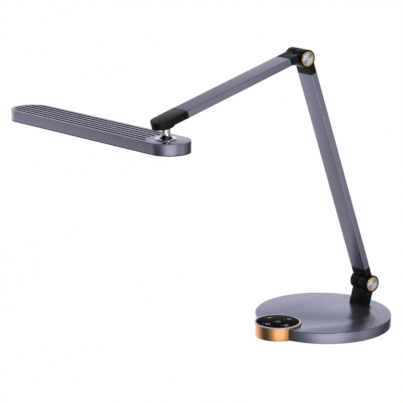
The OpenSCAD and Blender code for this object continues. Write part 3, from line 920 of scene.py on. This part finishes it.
@dataclass
class Puck(SubAssembly):
    """The touch control puck with its printed symbols."""

    symbol_mm: float = 3.1
    stroke_mm: float = 0.75
    print_mm: float = 0.06
    mark_mm: tuple[float, float] = (2.6, 0.9)
    mark_shift_mm: tuple[float, float] = (-4.3, -5.4)
    arc_step_deg: float = 9
    arc_least_steps: int = 6
    ring_deg: tuple[float, float] = (0, 359)
    power_ring_deg: tuple[float, float] = (125, 415)
    power_bar_mm: tuple[float, float] = (0.3, 0.5)
    sun_ring_share: float = 0.5
    sun_rays: int = 8
    ray_shares: tuple[float, float] = (0.8, 1.15)
    moon_outer_deg: tuple[float, float] = (60, 300)
    moon_inner_deg: tuple[float, float] = (100, 260)
    moon_inner_shift: float = 0.55
    moon_inner_share: float = 0.88
    clock_hand_shares: tuple[float, float] = (0.6, 0.5)
    tone_bar_share: float = 0.9
    spots_mm: dict[Symbol, tuple[float, float]] = field(
        default_factory=lambda: {
            Symbol.MOON: (-20.0, 2.3),
            Symbol.SUN: (1.5, 20.6),
            Symbol.POWER: (1.0, 0.3),
            Symbol.CLOCK: (0.0, -18.7),
            Symbol.TONE: (21.0, -1.7),
        }
    )

    def build(self) -> None:
        """Build and dress the puck."""
        self.finished("puck_shell", COPPER, 0.25)
        self.finished("puck_bezel", BEZEL, 0.12)
        self.finished("touch_glass", GLASS, 0.15)
        self.dressed("puck_carrier", COVER)
        self.dressed("touch_board", BOARD)
        low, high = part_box("touch_glass")
        self.centre = Vector(((low.x + high.x) / 2, (low.y + high.y) / 2, high.z))
        self.symbols()
        self.marks()

    def arc(
        self, mesh: bmesh.types.BMesh, at: tuple[float, float], radius: float, start: float, end: float
    ) -> None:
        """Add a curved stroke.

        Args:
            mesh: the mesh to add to.
            at: middle of the arc in millimetres from the puck's middle.
            radius: radius of the stroke's middle in millimetres.
            start: first angle in degrees.
            end: last angle in degrees.
        """
        steps = max(self.arc_least_steps, int(abs(end - start) / self.arc_step_deg))
        path = [
            (
                at[0] + radius * math.cos(math.radians(start + (end - start) * i / steps)),
                at[1] + radius * math.sin(math.radians(start + (end - start) * i / steps)),
            )
            for i in range(steps + 1)
        ]
        self.stroke(mesh, path)

    def stroke(self, mesh: bmesh.types.BMesh, path: list[tuple[float, float]]) -> None:
        """Add a flat stroke of ink along a path.

        Args:
            mesh: the mesh to add to.
            path: points in millimetres from the puck's middle.
        """
        half = self.stroke_mm / 2
        rows = []
        for i, point in enumerate(path):
            before = Vector(path[max(0, i - 1)])
            after = Vector(path[min(len(path) - 1, i + 1)])
            along = (after - before).normalized()
            side = Vector((-along.y, along.x)) * half
            row = []
            for offset, z in ((side, 0.0), (side, self.print_mm), (-side, self.print_mm), (-side, 0.0)):
                spot = Vector(point) + offset
                row.append(mesh.verts.new(self.centre + Vector((spot.x, spot.y, z)) * MM))
            rows.append(row)
        for a, b in zip(rows, rows[1:]):
            for k in range(4):
                mesh.faces.new((a[k], a[(k + 1) % 4], b[(k + 1) % 4], b[k]))
        mesh.faces.new(rows[0][::-1])
        mesh.faces.new(rows[-1])

    def moon(self, mesh: bmesh.types.BMesh, spot: tuple[float, float]) -> None:
        """A crescent.

        Args:
            mesh: the mesh to add to.
            spot: the symbol's middle in millimetres from the puck's middle.
        """
        x, y = spot
        size = self.symbol_mm
        self.arc(mesh, spot, size, *self.moon_outer_deg)
        inner = (x + size * self.moon_inner_shift, y)
        self.arc(mesh, inner, size * self.moon_inner_share, *self.moon_inner_deg)

    def sun(self, mesh: bmesh.types.BMesh, spot: tuple[float, float]) -> None:
        """A small ring with rays.

        Args:
            mesh: the mesh to add to.
            spot: the symbol's middle in millimetres from the puck's middle.
        """
        x, y = spot
        size = self.symbol_mm
        self.arc(mesh, spot, size * self.sun_ring_share, *self.ring_deg)
        for i in range(self.sun_rays):
            a = math.radians(360 / self.sun_rays * i)
            ends = [(x + size * far * math.cos(a), y + size * far * math.sin(a)) for far in self.ray_shares]
            self.stroke(mesh, ends)

    def power(self, mesh: bmesh.types.BMesh, spot: tuple[float, float]) -> None:
        """A ring open at the back, with a bar in the gap.

        Args:
            mesh: the mesh to add to.
            spot: the symbol's middle in millimetres from the puck's middle.
        """
        x, y = spot
        start, past = self.power_bar_mm
        self.arc(mesh, spot, self.symbol_mm, *self.power_ring_deg)
        self.stroke(mesh, [(x, y + start), (x, y + self.symbol_mm + past)])

    def clock(self, mesh: bmesh.types.BMesh, spot: tuple[float, float]) -> None:
        """A ring with two hands.

        Args:
            mesh: the mesh to add to.
            spot: the symbol's middle in millimetres from the puck's middle.
        """
        x, y = spot
        size = self.symbol_mm
        long, short = self.clock_hand_shares
        self.arc(mesh, spot, size, *self.ring_deg)
        self.stroke(mesh, [(x, y + size * long), (x, y), (x + size * short, y)])

    def tone(self, mesh: bmesh.types.BMesh, spot: tuple[float, float]) -> None:
        """A ring cut by a bar, for warm and cool light.

        Args:
            mesh: the mesh to add to.
            spot: the symbol's middle in millimetres from the puck's middle.
        """
        x, y = spot
        half = self.symbol_mm * self.tone_bar_share
        self.arc(mesh, spot, self.symbol_mm, *self.ring_deg)
        self.stroke(mesh, [(x, y - half), (x, y + half)])

    def symbols(self) -> None:
        """Print the five symbols on the glass."""
        mesh = bmesh.new()
        draw = {
            Symbol.MOON: self.moon,
            Symbol.SUN: self.sun,
            Symbol.POWER: self.power,
            Symbol.CLOCK: self.clock,
            Symbol.TONE: self.tone,
        }
        for symbol, spot in self.spots_mm.items():
            draw[symbol](mesh, spot)
        bmesh.ops.recalc_face_normals(mesh, faces=mesh.faces)
        data = bpy.data.meshes.new("touch_symbols")
        mesh.to_mesh(data)
        mesh.free()
        data.materials.append(self.paints.get(PRINT))
        self.place(link("touch_symbols", data), "base", "touch_glass")

    def marks(self) -> None:
        """Print a short faint bar beside each symbol."""
        length, width = self.mark_mm
        lift = self.print_mm / 2
        points = [
            self.centre + Vector((x + self.mark_shift_mm[0], y + self.mark_shift_mm[1], lift)) * MM
            for x, y in self.spots_mm.values()
        ]
        values = {
            "Length": length * MM,
            "Width": width * MM,
            "Height": self.print_mm * MM,
            "Finish": self.paints.get(FAINT),
        }
        self.place(grown("touch_marks", points, bar_tree(), values), "base", "touch_glass")


@dataclass
class Hinge(SubAssembly):
    """One friction hinge: its axle, washers and the two caps."""

    name: str = "tilt"
    joint: str = "base_tilt"

    def build(self) -> None:
        """Build and dress the hinge."""
        # cap faces carry painted reflection wedges
        silver = turned_silver_painted_wedges(f"cap_silver_painted_wedges_{self.name}", JOINT_AT[self.joint])
        for side in ("right", "left"):
            self.finished(f"{self.name}_ring_{side}", GOLD, 0.2)
            self.finished(f"{self.name}_disc_{side}", silver, 0.15)
        for inner in ("axle", "spring_washer", "nut"):
            self.dressed(f"{self.name}_{inner}", ZINC)
        self.finished(f"{self.name}_friction_washer", NYLON, 0.1)


@dataclass
class Arm(SubAssembly):
    """A flat arm: its tube and the moulded blocks on its ends."""

    name: str = "lower"
    blocks: tuple[str, ...] = ()

    def build(self) -> None:
        """Build and dress the arm."""
        self.finished(f"{self.name}_tube", SATIN, 0.12)
        for block in self.blocks:
            self.finished(block, MOULDED, 0.14)
        self.dressed(f"{self.name}_grub_screws", ZINC)
        self.dressed(f"{self.name}_lead", COVER)


@dataclass
class BallJoint(SubAssembly):
    """The ball, its seat and collar, and the flared stem."""

    def build(self) -> None:
        """Build and dress the ball joint."""
        self.finished("socket_collar", MOULDED, 0.2)
        self.dressed("ball_seat", NYLON)
        self.finished("ball", ZINC, 0.1)
        self.finished("stem", CHROME, 0.15)
        self.dressed("stem_washer", ZINC)
        self.dressed("stem_nut", ZINC)


@dataclass
class Head(SubAssembly):
    """The long light head with its LEDs and diffuser."""

    screws: Tree | None = None
    led_mm: tuple[float, float, float] = (3.5, 2.8, 0.8)
    board_screw: ScrewSize = ScrewSize(2.0, 1.1, 0.95, 3.4)

    def build(self) -> None:
        """Build and dress the head."""
        # painted shade darkens the head shell's grooves
        self.finished("head_shell", GROOVE_SHADED, 0.25)
        self.finished("head_bezel", COVER, 0.15)
        self.finished("diffuser", FROST, 0.2)
        for node in ("led_board", "led_connector", "reflector"):
            self.dressed(node, WHITE)
        self.leds()
        self.screwed("led_screws", self.screws, self.board_screw)

    def leds(self) -> None:
        """Both rows of LEDs."""
        points = [(low + high) / 2 for low, high in loose_parts("led_rows")]
        length, width, height = self.led_mm
        values = {
            "Length": length * MM,
            "Width": width * MM,
            "Height": height * MM,
            "Finish": self.paints.get(LENS),
        }
        tree = led_tree(math.radians(HEAD_YAW_DEG))
        self.place(grown("led_rows_finished", points, tree, values), "head", "led_lens", "led_rows")


# ---- Studio ----


@dataclass(frozen=True)
class SoftLight:
    """A soft rectangular light: where it stands and faces, its size and its watts."""

    name: str
    at: tuple[float, float, float]
    towards: tuple[float, float, float]
    size: tuple[float, float]
    watts: float


@dataclass
class Studio:
    """Floor, lights and camera."""

    azimuth_deg: float = 52.475
    elevation_deg: float = 14.064
    distance: float = 2.5853
    aim: tuple[float, float, float] = (-0.10907, -0.14202, 0.18585)
    lens_mm: float = 159.12
    sensor_mm: float = 36.0
    floor_half: float = 30.0
    floor_drop: float = 0.0003
    floor_cloud_mm: float = 400.0
    blue: float = 1.06
    around_levels: tuple[tuple[float, float], ...] = (
        (-180, 2.00), (-152, 1.40), (-138, 1.15), (-122, 1.00), (-108, 0.68), (-96, 0.50), (-89, 0.26),
        (-80, 0.10), (-56, 0.08), (-38, 0.28), (-24, 0.64), (-10, 1.30), (22, 1.40), (38, 0.86),
        (54, 0.42), (74, 0.66), (98, 0.28), (122, 0.08), (152, 0.12), (166, 1.00), (180, 2.00),
    )
    sky_levels: tuple[tuple[float, float], ...] = (
        (0.0, 0.76), (0.24, 0.87), (0.42, 0.66), (0.60, 0.52), (1.0, 0.30),
    )
    sky_sides: tuple[tuple[float, float], ...] = (
        (-180, 1.0), (-158, 1.0), (-130, 0.32), (-60, 0.30), (0, 0.60), (60, 0.45), (120, 0.40), (152, 1.0),
        (180, 1.0),
    )
    horizon: tuple[float, float] = (-0.04, 0.12)
    steep: tuple[float, float] = (-0.58, -0.42)
    steep_level: float = 0.5
    lights: tuple[SoftLight, ...] = (
        SoftLight("side", (2.6, -0.5, 1.6), (0, 0, 0.3), (0.7, 0.9), 16),
        SoftLight("left", (-2.3, -1.3, 1.55), (0, 0, 0.2), (0.3, 0.7), 2.5),
    )

    def build(self) -> None:
        """Build the studio."""
        self.floor()
        self.world()
        for light in self.lights:
            self.shine(light)
        self.camera()
        bpy.context.scene.view_settings.view_transform = "Standard"

    def towards_camera(self) -> Vector:
        """Direction from the lamp to the camera."""
        a, e = math.radians(self.azimuth_deg), math.radians(self.elevation_deg)
        return Vector((math.sin(a) * math.cos(e), -math.cos(a) * math.cos(e), math.sin(e)))

    def floor(self) -> None:
        """A plain white floor, left out of what the lamp reflects."""
        mesh = bmesh.new()
        half = self.floor_half
        corners = [(-half, -half), (half, -half), (half, half), (-half, half)]
        mesh.faces.new([mesh.verts.new((x, y, -self.floor_drop)) for x, y in corners])
        data = bpy.data.meshes.new("floor")
        mesh.to_mesh(data)
        mesh.free()
        shade = Shade("floor_white")
        cloud = shade.noise(shade.place, self.floor_cloud_mm, 2.0)
        shade.join(
            shade.blended(shade.ranged(cloud, 0, 1), (0.998, 0.998, 0.998), (1, 1, 1)),
            shade.skin.inputs["Emission Color"],
        )
        shade.skin.inputs["Emission Strength"].default_value = 1.0
        shade.skin.inputs["Base Color"].default_value = (0, 0, 0, 1)
        shade.skin.inputs["Specular IOR Level"].default_value = 0.0
        data.materials.append(shade.material)
        plane = link("floor", data)
        plane.visible_glossy = False
        plane.visible_diffuse = False
        plane.visible_transmission = False

    def graded(
        self, tree: bpy.types.NodeTree, place: bpy.types.NodeSocket, levels: list[tuple[float, float]]
    ) -> bpy.types.NodeSocket:
        """Brightness read off a row of stops.

        Args:
            tree: the world's node tree.
            place: where to read, from 0 to 1.
            levels: place and brightness of each stop, in order.

        Returns:
            The colour socket.
        """
        ramp = tree.nodes.new("ShaderNodeValToRGB")
        stops = ramp.color_ramp.elements
        stops[0].position, stops[1].position = levels[0][0], levels[-1][0]
        for spot, _ in levels[1:-1]:
            stops.new(spot)
        for stop, (_, level) in zip(stops, levels):
            stop.color = (level, level, level * self.blue, 1)
        tree.links.new(place, ramp.inputs["Fac"])
        return ramp.outputs["Color"]

    def world(self) -> None:
        """White backdrop; the lamp reflects panels around it, dimmer straight below, and a sky."""
        world = bpy.data.worlds.new("studio")
        bpy.context.scene.world = world
        world.use_nodes = True
        tree = world.node_tree
        tree.nodes.clear()
        where = tree.nodes.new("ShaderNodeTexCoord")
        turned = tree.nodes.new("ShaderNodeVectorRotate")
        turned.rotation_type = "Z_AXIS"
        turned.inputs["Angle"].default_value = math.pi / 2 - math.radians(self.azimuth_deg)
        split = tree.nodes.new("ShaderNodeSeparateXYZ")
        angle = tree.nodes.new("ShaderNodeMath")
        angle.operation = "ARCTAN2"
        turns = tree.nodes.new("ShaderNodeMapRange")
        turns.inputs["From Min"].default_value = -math.pi
        turns.inputs["From Max"].default_value = math.pi
        above = tree.nodes.new("ShaderNodeMapRange")
        above.inputs["From Min"].default_value, above.inputs["From Max"].default_value = self.horizon
        room = tree.nodes.new("ShaderNodeMix")
        room.data_type = "RGBA"
        around, sides = (
            [((degrees + 180) / 360, level) for degrees, level in levels]
            for levels in (self.around_levels, self.sky_sides)
        )
        below = tree.nodes.new("ShaderNodeMapRange")
        below.inputs["From Min"].default_value, below.inputs["From Max"].default_value = self.steep
        below.inputs["To Min"].default_value = self.steep_level
        ground, sky = (tree.nodes.new("ShaderNodeVectorMath") for _ in range(2))
        ground.operation = sky.operation = "MULTIPLY"
        seen = tree.nodes.new("ShaderNodeLightPath")
        white = tree.nodes.new("ShaderNodeBackground")
        white.inputs["Color"].default_value = (1, 1, 1, 1)
        reflected = tree.nodes.new("ShaderNodeBackground")
        mix = tree.nodes.new("ShaderNodeMixShader")
        out = tree.nodes.new("ShaderNodeOutputWorld")
        for source, target in (
            (where.outputs["Generated"], turned.inputs["Vector"]),
            (turned.outputs["Vector"], split.inputs["Vector"]),
            (split.outputs["Y"], angle.inputs[0]),
            (split.outputs["X"], angle.inputs[1]),
            (angle.outputs[0], turns.inputs["Value"]),
            (split.outputs["Z"], above.inputs["Value"]),
            (above.outputs["Result"], room.inputs["Factor"]),
            (split.outputs["Z"], below.inputs["Value"]),
            (self.graded(tree, turns.outputs["Result"], around), ground.inputs[0]),
            (below.outputs["Result"], ground.inputs[1]),
            (ground.outputs["Vector"], colour_socket(room.inputs, "A")),
            (self.graded(tree, split.outputs["Z"], list(self.sky_levels)), sky.inputs[0]),
            (self.graded(tree, turns.outputs["Result"], sides), sky.inputs[1]),
            (sky.outputs["Vector"], colour_socket(room.inputs, "B")),
            (colour_socket(room.outputs, "Result"), reflected.inputs["Color"]),
            (seen.outputs["Is Camera Ray"], mix.inputs["Fac"]),
            (reflected.outputs[0], mix.inputs[1]),
            (white.outputs[0], mix.inputs[2]),
            (mix.outputs[0], out.inputs["Surface"]),
        ):
            tree.links.new(source, target)

    def shine(self, light: SoftLight) -> None:
        """Add a light.

        Args:
            light: the light to add.
        """
        data = bpy.data.lights.new(light.name, "AREA")
        data.shape = "RECTANGLE"
        data.size, data.size_y = light.size
        data.energy = light.watts
        stand = bpy.data.objects.new(light.name, data)
        bpy.context.scene.collection.objects.link(stand)
        stand.location = light.at
        facing = Vector(light.towards) - Vector(light.at)
        stand.rotation_euler = facing.to_track_quat("-Z", "Y").to_euler()

    def camera(self) -> None:
        """Place the camera."""
        back = self.towards_camera()
        data = bpy.data.cameras.new("camera")
        data.lens = self.lens_mm
        data.sensor_width = self.sensor_mm
        camera = bpy.data.objects.new("camera", data)
        bpy.context.scene.collection.objects.link(camera)
        camera.location = Vector(self.aim) + back * self.distance
        camera.rotation_euler = (-back).to_track_quat("-Z", "Y").to_euler()
        bpy.context.scene.camera = camera


def main() -> None:
    """Build the lamp and its studio."""
    logging.basicConfig(level=logging.INFO, format="%(name)s: %(message)s")
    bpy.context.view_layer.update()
    paints = Paints()
    screws = screw_tree()
    groups = (
        Base(paints, screws=screws),
        Puck(paints),
        Hinge(paints, name="tilt", joint="base_tilt"),
        Arm(
            paints,
            name="lower",
            blocks=("hinge_bracket", "lower_foot_connector", "lower_elbow_connector"),
        ),
        Hinge(paints, name="elbow", joint="elbow_fold"),
        Arm(paints, name="upper", blocks=("upper_elbow_connector", "nose_housing")),
        BallJoint(paints),
        Head(paints, screws=screws),
    )
    for group in groups:
        group.build()
        LOG.info("finished %s", type(group).__name__)
    Studio().build()


if __name__ == "__main__":
    main()
